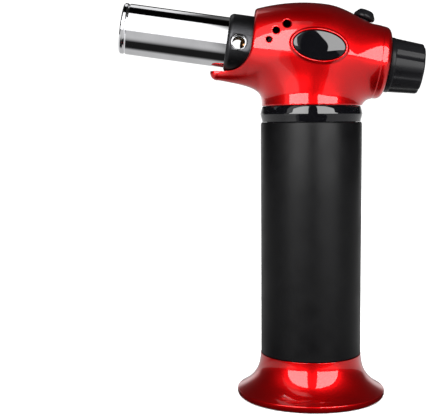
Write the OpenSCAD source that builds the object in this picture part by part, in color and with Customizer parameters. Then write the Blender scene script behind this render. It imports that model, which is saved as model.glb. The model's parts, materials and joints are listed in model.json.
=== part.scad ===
// Table-top butane torch with piezo ignition, built as separate pieces.
// Millimetres. Z is up. The origin is the middle of the foot's underside.
// The nozzle points along -X and rises a little. The gas knob is at +X.

/* [Overall] */
// angle of the nozzle above level, in degrees
nozzle_tilt = 8.1; // [0:0.1:20]
// height of the nozzle axis over the middle of the base
axis_z = 150.6; // [145:0.1:160]
// sides of round surfaces
round_sides = 96; // [32:8:160]

/* [Base] */
// widest radius of the base rim
base_rim_r = 32.5; // [28:0.1:40]
// height of the rounded rim band
base_band_h = 3.2; // [2:0.1:6]
// height where the flare runs out into the grip
base_flare_z = 26; // [20:0.5:40]
// how sharply the flare turns outward
base_flare_power = 4; // [1.5:0.1:6]
// wall of the base
base_wall = 2.6; // [1.5:0.1:4]

/* [Grip] */
// radius of the grip
grip_r = 22; // [18:0.1:26]
// lower edge of the grip
grip_bottom_z = 19.2; // [15:0.1:25]
// upper edge of the grip
grip_top_z = 121.3; // [100:0.1:125]
// thickness of the soft sleeve
grip_wall = 2.2; // [1:0.1:3]

/* [Tank] */
// outside radius of the gas tank
tank_r = 19.5; // [15:0.1:20]
// wall of the gas tank
tank_wall = 1.6; // [1:0.1:3]
// upper edge of the gas tank
tank_top_z = 118; // [90:0.5:118]

/* [Head] */
// wall of the head shell
shell_wall = 2.2; // [1.5:0.1:3]
// radius of the neck of the head
neck_r = 21.6; // [18:0.1:24]
// lower edge of the head shell
neck_z = 128.3; // [125:0.1:132]
// largest height of the head above its axis
head_top_r = 22; // [18:0.1:26]
// distance of the rear face behind the middle
head_rear_s = -32.6; // [-40:0.1:-28]
// distance of the front edge ahead of the middle
head_front_s = 26.9; // [22:0.1:30]
// reach of the lip under the nozzle
lip_tip_s = 42.6; // [36:0.1:48]

/* [Nozzle] */
// outside radius of the flame tube
tube_r = 10.9; // [8:0.1:14]
// wall of the flame tube
tube_wall = 0.8; // [0.5:0.1:2]
// mouth of the flame tube ahead of the middle
tube_end_s = 83; // [60:0.5:100]
// radius of the collar
collar_r = 12.7; // [10:0.1:15]
// front edge of the collar
collar_front_s = 37.3; // [32:0.1:45]
// place of the air holes along the nozzle
air_hole_s = 32.2; // [30:0.1:36]
// radius of the air holes
air_hole_r = 3.25; // [2:0.05:4]

/* [Knob] */
// radius of the knob at the head
knob_r = 11.8; // [9:0.1:14]
// radius of the knob at its end
knob_end_r = 10.65; // [8:0.05:13]
// length of the knob
knob_length = 14.9; // [10:0.1:20]
// number of finger lobes
knob_lobes = 8; // [5:1:12]

/* [Button] */
// radius of the button cap
button_r = 4.7; // [3:0.1:6]
// lean of the button towards the knob
button_tilt = 22; // [0:0.5:40]
// push of the button
button_travel = 3; // [1:0.1:3.2]

/* [Hidden] */
$fn = round_sides;
small_fn = 48;
fit = 0.05;
gap = 0.3;
foot_h = 0.4;
base_top_r = grip_r + 0.1;
deck_h = 2.6;
deck_z = grip_bottom_z - deck_h;
tank_in_r = tank_r - tank_wall;
plate_r = 29.2;
plate_z = 1;
plate_h = 2.2;
shelf_r = 28.2;
foot_in_r = 24.5;
foot_out_r = 28;
foot_z = 2;
plate_screw_ring = 20;
deck_screw_ring = 12;
button_x = 22.8;
button_z = 166.35;
dish_floor = -4.3;
boss_floor = -6.3;
paddle_top = -6.45;
paddle_low = -8.7;
plunger_top = -8.75;
piezo_top = -13;
piezo_low = -30;
piezo_y = 8.2;
piezo_half_x = 4.5;
piezo_half_y = 2.7;
plunger_y = 7.9;
plunger_r = 1.6;
plunger_foot = -17;
spring_foot = -23.8;
valve_r = 5.2;
spindle_r = 1.7;
knob_face_s = head_rear_s - 0.3;
axis_c = cos(nozzle_tilt);
axis_s = sin(nozzle_tilt);
hose_x = 4.6;
inlet_s = -8;
electrode_r = 6.5;
jet_face_s = 28.7;
badge_x = 1;
badge_z = 152.8;
badge_tilt = 8.5;
badge_half_w = 10.9;
badge_half_h = 5.9;
badge_face_y = -23.75;
badge_floor_y = -22.7;
vent_spots = [[-11.9, 162.1, 1.65], [-16.5, 159.5, 1.4], [-19.5, 155.7, 1.15]];
head_screw_spots = [[6, 14.3], [10, -12.6], [-22, -10.8]];
head_screw_seat = 8;
head_screw_deep = -7;
skin_turns = 60;
skin_leans = 34;
core_turns = 36;
core_leans = 24;

// ---------- frames ----------

// local z runs forward along the nozzle, local x points up, local y is the far side
module barrel() {
    translate([0, 0, axis_z])
        rotate([0, nozzle_tilt - 90, 0])
            children();
}

// local z runs back out of the knob
module knob_frame() {
    barrel()
        translate([0, 0, knob_face_s])
            rotate([180, 0, 0])
                children();
}

// local z is the button's axis, zero at the widest edge of its cap
module button_frame() {
    translate([button_x, 0, button_z])
        rotate([0, button_tilt, 0])
            children();
}

// ---------- rules of the head's shape ----------

function soft_min(a, b, k) = let (h = max(k - abs(a - b), 0) / k) min(a, b) - h * h * k / 4;
function soft_max(a, b, k) = -soft_min(-a, -b, k);
function clamp01(t) = min(1, max(0, t));

// distance forward along the nozzle axis and distance above it
function fwd(p) = -p[0] * axis_c + (p[2] - axis_z) * axis_s;
function up(p) = p[0] * axis_s + (p[2] - axis_z) * axis_c;

crest_s = -3;
top_offset = 0.4;
front_fall = 0.00682;
rear_fall = 2.9;
rear_span = 27;

// height of the head's top line over the axis
function top_line(s) = s > crest_s
    ? head_top_r - front_fall * pow(s - crest_s, 2)
    : head_top_r - rear_fall * (1 - cos(180 * min(crest_s - s, rear_span) / rear_span));

function bulb(p) =
    let (s = fwd(p), h = top_line(s) - top_offset, w = h + 0.32 * max(h - 15.5, 0),
        q = norm([(up(p) - top_offset) / h, p[1] / w]))
    (q - 1) * (h + w) / 2;

function neck(p) = soft_max(norm([p[0], p[1]]) - neck_r, p[2] - 143, 9);

// a rounded cone that forms the lip under the nozzle
lip_from = [20, -8.2, 9.8];
lip_to = [lip_tip_s - 3.2, -13.5, 3.2];
function lip(p) =
    let (d = [lip_to[0] - lip_from[0], lip_to[1] - lip_from[1]],
        q = [fwd(p) - lip_from[0], up(p) - lip_from[1]],
        t = clamp01((q[0] * d[0] + q[1] * d[1]) / (d[0] * d[0] + d[1] * d[1])),
        r = lip_from[2] + (lip_to[2] - lip_from[2]) * t)
    norm([q[0] - t * d[0], q[1] - t * d[1], p[1]]) - r;

function ends(p, f) = soft_max(soft_max(f, head_rear_s - 6 - fwd(p), 3), fwd(p) - 46, 3);
function hull_in(p) = ends(p, soft_min(bulb(p), neck(p), 6));
function hull_out(p) = ends(p, soft_min(soft_min(bulb(p), neck(p), 6), lip(p), 4));
function floor_cut(p, f) = max(f, 125 - p[2]);

ray_start = [-2, 0, 146];
function ray_dir(a, b) = [sin(b) * cos(a), -cos(b), sin(b) * sin(a)];
function field(p, inner, off) = floor_cut(p, inner ? hull_in(p) : hull_out(p)) - off;

// distance along a ray to the surface, by halving
function reach(d, inner, off, lo, hi, n) =
    n == 0 ? (lo + hi) / 2
    : let (m = (lo + hi) / 2)
        field(ray_start + m * d, inner, off) < 0
        ? reach(d, inner, off, m, hi, n - 1)
        : reach(d, inner, off, lo, m, n - 1);
function ray_point(a, b, inner, off) =
    let (d = ray_dir(a, b)) ray_start + reach(d, inner, off, 3, 70, 14) * d;

// more rays point at the lip than elsewhere
function ray_turn(i, n) = let (u = 360 * i / n) u - 26 * sin(u - 190);
function ray_lean(j, n) = let (v = j / n) 180 * v + 13 * sin(360 * v);

// closed surface of the head, at an offset from its outer face
module head_solid(inner, off, turns, leans) {
    points = concat(
        [ray_point(0, 0, inner, off)],
        [for (j = [1:leans - 1]) for (i = [0:turns - 1])
            ray_point(ray_turn(i, turns), ray_lean(j, leans), inner, off)],
        [ray_point(0, 180, inner, off)]);
    last = len(points) - 1;
    rows = leans - 2;
    faces = concat(
        [for (i = [0:turns - 1]) [0, 1 + (i + 1) % turns, 1 + i]],
        [for (j = [0:rows - 1]) for (i = [0:turns - 1])
            [1 + j * turns + i, 1 + (j + 1) * turns + (i + 1) % turns, 1 + (j + 1) * turns + i]],
        [for (j = [0:rows - 1]) for (i = [0:turns - 1])
            [1 + j * turns + i, 1 + j * turns + (i + 1) % turns, 1 + (j + 1) * turns + (i + 1) % turns]],
        [for (i = [0:turns - 1]) [last, 1 + rows * turns + i, 1 + rows * turns + (i + 1) % turns]]);
    polyhedron(points, faces);
}

// side view of the space ahead of the head's front edge, in nozzle axis terms
module front_space() {
    s = head_front_s;
    barrel()
        rotate([90, 0, 0])
            linear_extrude(80, center = true)
                polygon([[40, s], [-2, s], [-5, s + 0.5], [-7.2, s + 1.4], [-9, s + 2.7], [-10.3, s + 4.4],
                    [-11, s + 6.6], [-11.2, s + 9], [-11.3, s + 11.5], [-11.7, s + 13.6],
                    [-12.4, s + 15], [-13, s + 30], [40, s + 30]]);
}

// all the space ahead of the head's rear face, with that face's rounded edge
module rear_face() {
    s = head_rear_s;
    barrel()
        translate([top_offset, 0, 0])
            rotate_extrude($fn = 60)
                polygon([[0, s], [12.7, s], [14, s + 0.3], [14.9, s + 0.9], [15.5, s + 1.8], [15.75, s + 2.8],
                    [15.9, s + 4], [30, s + 9], [70, s + 9], [70, 80], [0, 80]]);
}

// all the space ahead of the rear wall's inner face
module ahead_of_rear_wall() {
    barrel()
        translate([0, 0, head_rear_s + 2.3])
            cylinder(h = 120, r = 70, $fn = 12);
}

// ribs and bosses shared by both halves
module head_ribs() {
    barrel() {
        difference() {
            union() {
                translate([0, 0, 19.5])
                    cylinder(h = 2, r = 26);
                for (s = [-25.5, 1])
                    translate([-7, -30, s])
                        cube([14, 60, 2]);
            }
            translate([0, 0, 15])
                cylinder(h = 10, r = 11.75, $fn = small_fn);
            translate([0, 0, -40])
                cylinder(h = 50, r = valve_r + 0.1, $fn = small_fn);
        }
    }
    difference() {
        translate([0, 0, 129.2])
            cylinder(h = 2.2, r = 24);
        translate([0, 0, 120])
            cylinder(h = 20, r = 17.7, $fn = 64);
    }
    button_frame()
        translate([0, 0, boss_floor])
            cylinder(h = 6, r = 7.2, $fn = small_fn);
}

// everything cut from both halves
module head_cuts() {
    front_space();
    barrel() {
        translate([0, 0, 22])
            cylinder(h = 40, r = collar_r + gap, $fn = 64);
        translate([0, 0, -40])
            cylinder(h = 12, r = 9.15, $fn = small_fn);
        translate([0, 0, -30.3])
            cylinder(h = 2.6, r = 10.8, $fn = small_fn);
    }
    translate([-60, -60, 100])
        cube([120, 120, neck_z - 100]);
    button_frame() {
        translate([0, 0, dish_floor])
            cylinder(h = 12, r1 = 4.4, r2 = 11.5, $fn = small_fn);
        translate([0, 0, -12])
            cylinder(h = 12, r = 3.3, $fn = 32);
    }
    // vents, in the near half alone
    for (v = vent_spots)
        translate([v[0], 0, v[1]])
            rotate([90, 0, 0])
                cylinder(h = 30, r = v[2], $fn = 20);
}

module head_screw_rods(r, y1, y2, sides) {
    barrel()
        for (b = head_screw_spots)
            translate([b[1], y1, b[0]])
                rotate([-90, 0, 0])
                    cylinder(h = y2 - y1, r = r, $fn = sides);
}

// an oval pad across the near side, given by half width, half height and two depths
module badge_oval(grow, y1, y2) {
    translate([badge_x, y2, badge_z])
        rotate([0, badge_tilt, 0])
            rotate([90, 0, 0])
                linear_extrude(y2 - y1)
                    scale([badge_half_w + grow, badge_half_h + grow])
                        circle(r = 1, $fn = 40);
}

module head_half(side) {
    // resize by nothing keeps the size and makes one mesh of all the cuts
    resize([0, 0, 0])
        intersection() {
            difference() {
                union() {
                    difference() {
                        intersection() {
                            head_solid(false, 0, skin_turns, skin_leans);
                            rear_face();
                        }
                        intersection() {
                            head_solid(true, -shell_wall, core_turns, core_leans);
                            ahead_of_rear_wall();
                        }
                    }
                    intersection() {
                        head_solid(true, -shell_wall / 2, core_turns, core_leans);
                        rear_face();
                        union() {
                            head_ribs();
                            children(0);
                        }
                    }
                    children(1);
                }
                head_cuts();
                children(2);
            }
            translate([-60, side > 0 ? 0.02 : -60.02, 100])
                cube([120, 60, 100]);
        }
}

// ---------- the foot ----------

function flare_r(z) = base_top_r
    + (base_rim_r - base_top_r) * pow((base_flare_z - z) / (base_flare_z - base_band_h), base_flare_power);

module base() {
    steps = 26;
    drop = grip_bottom_z - base_band_h;
    color([0.62, 0.02, 0.04])
        difference() {
            rotate_extrude()
                polygon(concat(
                    [for (i = [0:steps]) let (z = grip_bottom_z - drop * i / steps) [flare_r(z), z]],
                    [[base_rim_r + 0.05, base_band_h - 0.5], [base_rim_r, 1.6], [base_rim_r - 0.3, 0.9],
                        [base_rim_r - 0.9, foot_h], [plate_r + 0.1, foot_h],
                        [plate_r + 0.1, plate_z + plate_h], [shelf_r, plate_z + plate_h]],
                    [for (i = [0:12]) let (z = 5 + (deck_z - 5) * i / 12)
                        [min(shelf_r, flare_r(z) - base_wall), z]],
                    [[6.5, deck_z], [6.5, grip_bottom_z]]));
            for (a = [0:120:240])
                rotate([0, 0, a + 30])
                    translate([deck_screw_ring, 0, deck_z - 1])
                        cylinder(h = deck_h + 2, r = 1.6, $fn = small_fn);
        }
    color([0.62, 0.02, 0.04])
        for (a = [0:120:240])
            rotate([0, 0, a + 90])
                translate([plate_screw_ring, 0, plate_z + plate_h])
                    difference() {
                        cylinder(h = deck_z - plate_z - plate_h + 0.1, r = 2.2, $fn = small_fn);
                        translate([0, 0, -1])
                            cylinder(h = 10, r = 1.25, $fn = small_fn);
                    }
}

module base_plate() {
    color([0.05, 0.05, 0.055])
        difference() {
            rotate_extrude()
                polygon([[6.5, plate_z], [foot_in_r - 0.05, plate_z], [foot_in_r - 0.05, foot_z],
                    [foot_out_r + 0.05, foot_z], [foot_out_r + 0.05, plate_z], [plate_r, plate_z],
                    [plate_r, plate_z + plate_h - 0.05], [8, plate_z + plate_h - 0.05], [8, 8], [6.5, 8]]);
            for (a = [0:120:240])
                rotate([0, 0, a + 90])
                    translate([plate_screw_ring, 0, 0]) {
                        cylinder(h = 5, r = 1.5, $fn = small_fn);
                        cylinder(h = plate_z + 1.1, r = 2.9, $fn = small_fn);
                    }
        }
}

module foot_ring() {
    color([0.08, 0.08, 0.08])
        rotate_extrude()
            polygon([[foot_in_r, foot_z], [foot_in_r, 0.3], [foot_in_r + 0.3, 0],
                [foot_out_r - 0.3, 0], [foot_out_r, 0.3], [foot_out_r, foot_z]]);
}

// a pan-head screw with a cross recess, pointing up, its seat at zero
module screw(head_r, head_h, shank_r, length) {
    difference() {
        union() {
            translate([0, 0, -head_h])
                cylinder(h = head_h, r1 = head_r * 0.8, r2 = head_r, $fn = small_fn);
            cylinder(h = length - 1, r = shank_r, $fn = small_fn);
            translate([0, 0, length - 1])
                cylinder(h = 1, r1 = shank_r, r2 = shank_r * 0.3, $fn = small_fn);
        }
        for (a = [0, 90])
            rotate([0, 0, a])
                translate([-head_r * 0.55, -0.25, -head_h - 1])
                    cube([head_r * 1.1, 0.5, 1 + head_h * 0.6]);
    }
}

module base_screws() {
    color([0.6, 0.6, 0.62])
        for (a = [0:120:240])
            rotate([0, 0, a + 30])
                translate([deck_screw_ring, 0, deck_z - fit])
                    screw(2.8, 1.8, 1.3, 11);
}

module plate_screws() {
    color([0.6, 0.6, 0.62])
        for (a = [0:120:240])
            rotate([0, 0, a + 90])
                translate([plate_screw_ring, 0, plate_z + 1.05])
                    screw(2.6, 1, 1.2, 8);
}

// ---------- the fill valve ----------

fill_nose_z = 5;
fill_seat_z = 20.8;

module fill_valve_body() {
    color([0.75, 0.6, 0.3])
        difference() {
            union() {
                translate([0, 0, fill_nose_z])
                    cylinder(h = 26.2, r = 3.9);
                translate([0, 0, 15.6])
                    cylinder(h = 2.5, r = 6, $fn = 6);
            }
            // port for the refill can's nozzle
            translate([0, 0, fill_nose_z - 1])
                cylinder(h = 5.2, r = 2.6);
            translate([0, 0, fill_nose_z + 3])
                cylinder(h = 14, r = 1.5);
            // spring chamber, guide for the top of the stem and the outlet into the tank
            translate([0, 0, fill_seat_z])
                cylinder(h = 8.2, r = 2.8);
            translate([0, 0, 28])
                cylinder(h = 2.5, r = 1);
            translate([0, 0, 29.8])
                rotate([90, 0, 0])
                    cylinder(h = 10, r = 0.5, center = true, $fn = 16);
        }
}

module fill_valve_stem() {
    color([0.8, 0.68, 0.38]) {
        translate([0, 0, 9.5])
            cylinder(h = 13, r = 1);
        translate([0, 0, 22.2])
            cylinder(h = 1, r = 2.4);
        translate([0, 0, 23])
            cylinder(h = 5, r = 0.8);
    }
}

module fill_valve_seal() {
    color([0.06, 0.06, 0.06])
        translate([0, 0, 21.5])
            rotate_extrude()
                translate([1.68, 0])
                    circle(r = 0.64, $fn = 32);
}

module fill_valve_washer() {
    color([0.06, 0.06, 0.06])
        translate([0, 0, 18.15])
            difference() {
                cylinder(h = grip_bottom_z + 0.05 - 18.15, r = 5.8);
                translate([0, 0, -1])
                    cylinder(h = 4, r = 3.95);
            }
}

// ---------- sweeps ----------

function unit(v) = v / norm(v);
function cross_of(t, ref) = unit(cross(t, ref));

// a tube of round section along a list of points
module sweep(path, r, sides, ref = [0, 0, 1]) {
    n = len(path);
    tangents = [for (i = [0:n - 1]) unit(path[min(i + 1, n - 1)] - path[max(i - 1, 0)])];
    points = [for (i = [0:n - 1])
        let (a = cross_of(tangents[i], ref), b = cross(tangents[i], a))
        for (k = [0:sides - 1]) path[i] + r * (cos(360 * k / sides) * a + sin(360 * k / sides) * b)];
    faces = concat(
        [[for (k = [0:sides - 1]) k]],
        [for (i = [0:n - 2]) for (k = [0:sides - 1])
            [i * sides + k, (i + 1) * sides + k, (i + 1) * sides + (k + 1) % sides,
                i * sides + (k + 1) % sides]],
        [[for (k = [0:sides - 1]) n * sides - 1 - k]]);
    polyhedron(points, faces);
}

// a coil spring along z with closed end turns
module spring(mean_r, wire_r, height, turns, per_turn, sides) {
    n = turns * per_turn;
    rise = height - 2 * wire_r;
    path = [for (i = [0:n])
        let (u = i / n, flat = 0.12, z = clamp01((u - flat * 0.8) / (1 - flat * 1.6)))
        [mean_r * cos(360 * i / per_turn), mean_r * sin(360 * i / per_turn), wire_r + rise * (0.06 * u + 0.94 * z)]];
    sweep(path, wire_r, sides);
}

// a smooth curve through given points, with the first and last repeated
function curve_point(p, i, t) =
    let (a = p[max(i - 1, 0)], b = p[i], c = p[i + 1], d = p[min(i + 2, len(p) - 1)])
    0.5 * (2 * b + (c - a) * t + (2 * a - 5 * b + 4 * c - d) * t * t
        + (3 * b - a - 3 * c + d) * t * t * t);
function curve(p, steps) = concat(
    [for (i = [0:len(p) - 2]) for (k = [0:steps - 1]) curve_point(p, i, k / steps)],
    [p[len(p) - 1]]);

module fill_valve_spring() {
    color([0.75, 0.75, 0.77])
        translate([0, 0, 23.25])
            spring(1.75, 0.25, 5.7, 5, 14, 6);
}

// ---------- the tank and the grip ----------

module gas_tank() {
    floor_z = grip_bottom_z + 0.05;
    color([0.82, 0.82, 0.8]) {
        difference() {
            rotate_extrude()
                polygon([[3.95, floor_z], [tank_r, floor_z], [tank_r, tank_top_z], [tank_in_r, tank_top_z],
                    [tank_in_r, floor_z + 4.5], [tank_in_r - 1.5, floor_z + 3], [7, floor_z + 3],
                    [7, 29], [3.95, 29]]);
            for (a = [0:120:240])
                rotate([0, 0, a + 30])
                    translate([deck_screw_ring, 0, floor_z - 1])
                        cylinder(h = 5, r = 1.35, $fn = small_fn);
        }
        for (a = [0:120:240])
            rotate([0, 0, a + 30])
                translate([deck_screw_ring, 0, floor_z + 2.9])
                    difference() {
                        cylinder(h = 8, r = 3.2, $fn = small_fn);
                        translate([0, 0, -1])
                            cylinder(h = 7.5, r = 1.35, $fn = small_fn);
                    }
    }
}

module tank_cap() {
    spigot_r = tank_in_r - fit;
    color([0.16, 0.16, 0.17]) {
        difference() {
            union() {
                rotate_extrude()
                    polygon([[0, 111], [spigot_r - 0.6, 111], [spigot_r, 111.8], [spigot_r, 113.6],
                        [spigot_r - 1.4, 113.6], [spigot_r - 1.4, 115.4], [spigot_r, 115.4],
                        [spigot_r, tank_top_z + 0.05], [19.3, tank_top_z + 0.05], [19.3, 123.9],
                        [17.4, 123.9], [17.4, 131.7], [18.4, 131.7], [18.4, 133.3], [14.5, 133.3],
                        [14.5, 125.5], [0, 125.5]]);
                translate([hose_x, 0, 125])
                    cylinder(h = 3, r = 3.2, $fn = small_fn);
                translate([hose_x, 0, 125])
                    cylinder(h = 7, r = 1.95, $fn = small_fn);
            }
            translate([hose_x, 0, 110])
                cylinder(h = 30, r = 0.9, $fn = small_fn);
            translate([hose_x, 0, 110])
                cylinder(h = 4, r = 1.8, $fn = small_fn);
            // way for the igniter's cradle
            translate([-3.5, 5, 127.9])
                cube([23, 16, 8]);
        }
    }
}

module tank_seal() {
    color([0.05, 0.05, 0.05])
        translate([0, 0, 114.5])
            rotate_extrude()
                translate([17.17, 0])
                    circle(r = 0.69, $fn = 32);
}

module wick_tube() {
    color([0.85, 0.83, 0.75])
        translate([hose_x, 0, 31.5])
            difference() {
                cylinder(h = 82.4, r = 1.78, $fn = small_fn);
                translate([0, 0, -1])
                    cylinder(h = 90, r = 0.9, $fn = small_fn);
                for (z = [3:4:15])
                    translate([0, 0, z])
                        rotate([90, 0, 0])
                            cylinder(h = 6, r = 0.4, center = true, $fn = 16);
            }
}

module grip_sleeve() {
    color([0.12, 0.12, 0.125])
        rotate_extrude()
            polygon([[grip_r - grip_wall, grip_bottom_z + 0.05], [grip_r - 0.3, grip_bottom_z + 0.05],
                [grip_r, grip_bottom_z + 0.4], [grip_r, grip_top_z - 1], [grip_r - 0.2, grip_top_z - 0.3],
                [grip_r - 0.6, grip_top_z], [grip_r - grip_wall, grip_top_z]]);
}

module neck_ring() {
    z0 = grip_top_z + 0.1;
    z1 = neck_z - 0.1;
    color([0.03, 0.03, 0.035])
        rotate_extrude()
            polygon([[19.6, z0], [21.4, z0], [21.6, z0 + 1], [21.95, z0 + 2.3], [22.15, z0 + 3.1],
                [22.2, z0 + 3.5], [22.1, z0 + 3.9], [21.75, z0 + 5.4], [21.45, z1 - 0.4], [21.2, z1],
                [19.6, z1], [19.6, 126.4], [17.7, 126.4], [17.7, 124.1], [19.6, 124.1]]);
}

// ---------- the head ----------

module head_shell_near() {
    color([0.66, 0.02, 0.04])
        head_half(-1) {
            union() {
                head_screw_rods(3, -30, 0, 24);
                barrel()
                    rotate([0, 0, -112])
                        rotate_extrude(angle = 42, $fn = small_fn)
                            translate([10.9, -30.5])
                                square([3.5, 2.1]);
            }
            badge_oval(1.1, badge_face_y, badge_face_y + 2.35);
            union() {
                badge_oval(0.12, -30, badge_floor_y);
                head_screw_rods(1.25, head_screw_deep - 1, 1, 16);
            }
        }
}

module head_shell_far() {
    color([0.66, 0.02, 0.04])
        head_half(1) {
            union() {
                head_screw_rods(4, 0, 30, 24);
                piezo_cradle();
            }
            union() {}
            union() {
                head_screw_rods(1.5, -1, 20, 16);
                head_screw_rods(2.8, head_screw_seat, 40, 24);
            }
        }
}

// walls on the far half that hold the igniter
module piezo_cradle() {
    low = piezo_low - 2.2;
    button_frame()
        difference() {
            translate([-6, 5.6, low])
                cube([12, 20, 12]);
            translate([-piezo_half_x - 0.1, 0, piezo_low - 0.1])
                cube([2 * piezo_half_x + 0.2, piezo_y + piezo_half_y + 0.1, 30]);
            translate([-10, 0, piezo_low + 4])
                cube([8, 30, 30]);
        }
}

module head_screws() {
    color([0.6, 0.6, 0.62])
        barrel()
            for (b = head_screw_spots)
                translate([b[1], head_screw_seat + fit, b[0]])
                    rotate([90, 0, 0])
                        screw(2.5, 1.8, 1.2, head_screw_seat - head_screw_deep);
}

module badge() {
    crown = 0.75;
    ball_r = 82;
    color([0.02, 0.02, 0.025])
        intersection() {
            badge_oval(0, badge_face_y - crown - 1, badge_floor_y - fit);
            translate([badge_x, badge_face_y - crown + ball_r, badge_z])
                sphere(r = ball_r, $fn = 360);
        }
}

// ---------- the nozzle ----------

// a hole straight across the nozzle from side to side
module air_holes(r) {
    translate([0, 0, air_hole_s])
        rotate([90, 0, 0])
            cylinder(h = 40, r = r, center = true, $fn = small_fn);
}

module nozzle_collar() {
    f = collar_front_s;
    color([0.03, 0.03, 0.03])
        barrel()
            difference() {
                rotate_extrude()
                    polygon([[10, 16.5], [13, 16.5], [13, 19.3], [11.6, 19.3], [11.6, 21.7], [collar_r, 21.7],
                        [collar_r, f - 2], [collar_r - 0.15, f - 1.25], [collar_r - 0.6, f - 0.55],
                        [collar_r - 1.2, f - 0.1], [tube_r + 0.35, f], [tube_r + fit, f - 0.3],
                        [tube_r + fit, 24], [10, 24]]);
                air_holes(air_hole_r);
                translate([0, 0, air_hole_s])
                    for (a = [90, -90])
                        rotate([a, 0, 0])
                            translate([0, 0, collar_r - 0.75])
                                cylinder(h = 1, r1 = air_hole_r, r2 = air_hole_r + 1, $fn = small_fn);
            }
}

module flame_tube() {
    e = tube_end_s;
    inner = tube_r - tube_wall;
    color([0.85, 0.85, 0.87])
        barrel()
            difference() {
                rotate_extrude()
                    polygon([[inner, 24.1], [tube_r, 24.1], [tube_r, e - 0.9], [tube_r - 0.12, e - 0.4],
                        [tube_r - 0.4, e - 0.05], [inner + 0.3, e], [inner, e - 0.3]]);
                air_holes(air_hole_r + 0.15);
            }
}

module jet_holder() {
    color([0.72, 0.58, 0.28])
        barrel()
            difference() {
                union() {
                    translate([0, 0, 25])
                        cylinder(h = jet_face_s - 25, r = 10.05);
                    translate([0, 0, 20])
                        cylinder(h = 6, r = 4.2, $fn = small_fn);
                }
                translate([0, 0, 19])
                    cylinder(h = 6.5, r = 2.05, $fn = small_fn);
                translate([0, 0, 25.5])
                    cylinder(h = 5, r = 2.5, $fn = small_fn);
                translate([electrode_r, 0, 20])
                    cylinder(h = 12, r = 1.3, $fn = small_fn);
            }
}

module gas_jet() {
    color([0.7, 0.45, 0.2])
        barrel()
            difference() {
                rotate_extrude()
                    polygon([[0, 25.6], [2.45, 25.6], [2.45, jet_face_s + 0.05], [2.3, 30.2], [1.9, 30.9],
                        [1.2, 31.3], [0, 31.4]]);
                translate([0, 0, 25])
                    cylinder(h = 5.2, r = 1, $fn = small_fn);
                translate([0, 0, 25])
                    cylinder(h = 8, r = 0.3, $fn = 24);
            }
}

module jet_pipe() {
    color([0.72, 0.58, 0.28])
        barrel()
            translate([0, 0, 1])
                difference() {
                    cylinder(h = 24.4, r = 2, $fn = small_fn);
                    translate([0, 0, -1])
                        cylinder(h = 30, r = 1.2, $fn = small_fn);
                }
}

module mixer_tube() {
    color([0.72, 0.58, 0.28])
        barrel()
            difference() {
                rotate_extrude()
                    polygon([[4.1, 37.8], [4.9, 37.8], [4.9, 54], [10.05, 59.5], [10.05, 62.5], [9.2, 62.5],
                        [9.2, 59.8], [4.1, 54.5]]);
                translate([electrode_r, 0, 30])
                    cylinder(h = 40, r = 1.3, $fn = small_fn);
            }
}

module flame_holder() {
    color([0.45, 0.43, 0.42])
        barrel()
            difference() {
                translate([0, 0, 60])
                    cylinder(h = 2.4, r = 9.15);
                translate([0, 0, 59])
                    cylinder(h = 5, r = 1.6, $fn = 24);
                for (ring = [[3.4, 6], [5.6, 10], [7.6, 12]])
                    for (i = [0:ring[1] - 1])
                        rotate([0, 0, 360 * (i + 0.5) / ring[1]])
                            translate([ring[0], 0, 59])
                                cylinder(h = 5, r = 0.65, $fn = 16);
                translate([electrode_r, 0, 59])
                    cylinder(h = 5, r = 1.3, $fn = small_fn);
            }
}

module electrode() {
    bend_s = 68;
    color([0.7, 0.7, 0.7])
        barrel() {
            translate([electrode_r, 0, 17])
                cylinder(h = bend_s - 17, r = 0.6, $fn = 24);
            translate([electrode_r, 0, bend_s])
                sphere(r = 0.6, $fn = 24);
            translate([electrode_r, 0, bend_s])
                rotate([0, -45, 0])
                    cylinder(h = 3, r = 0.6, $fn = 24);
        }
}

module electrode_insulator() {
    color([0.92, 0.91, 0.87])
        barrel()
            translate([electrode_r, 0, 19])
                difference() {
                    cylinder(h = 46, r = 1.25, $fn = small_fn);
                    translate([0, 0, -1])
                        cylinder(h = 50, r = 0.65, $fn = 24);
                }
}

// ---------- the igniter ----------

module ignition_wire() {
    // points as distance forward, distance to the far side, height over the axis
    route = [[-10.15, 8.2, -3.2], [-8.4, 8.6, -1.6], [-4, 9, 4], [1, 6.9, 8.4], [6, 5, 8.8], [11, 2, 7.6],
        [14.5, 0.3, 6.6], [17.6, 0, electrode_r]];
    color([0.5, 0.04, 0.04])
        barrel()
            sweep([for (p = curve(route, 4)) [p[2], p[1], p[0]]], 0.9, 8, [0, 1, 0.2]);
}

module piezo_igniter() {
    color([0.07, 0.07, 0.075])
        button_frame()
            difference() {
                union() {
                    translate([-piezo_half_x, piezo_y - piezo_half_y, piezo_low])
                        cube([2 * piezo_half_x, 2 * piezo_half_y, piezo_top - piezo_low - 2]);
                    translate([-piezo_half_x + 0.8, piezo_y - piezo_half_y + 0.2, piezo_top - 2.1])
                        cube([2 * piezo_half_x - 1.6, 2 * piezo_half_y - 0.4, 2.1]);
                }
                translate([0, plunger_y, spring_foot - 0.1])
                    cylinder(h = 20, r = plunger_r + 0.08, $fn = small_fn);
            }
}

module piezo_plunger() {
    color([0.75, 0.75, 0.72])
        button_frame()
            translate([0, plunger_y, plunger_foot])
                cylinder(h = plunger_top - plunger_foot, r = plunger_r, $fn = small_fn);
}

module piezo_spring() {
    color([0.75, 0.75, 0.77])
        button_frame()
            translate([0, plunger_y, spring_foot])
                spring(1.25, 0.25, plunger_foot - spring_foot - 0.05, 6, 12, 6);
}

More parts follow.
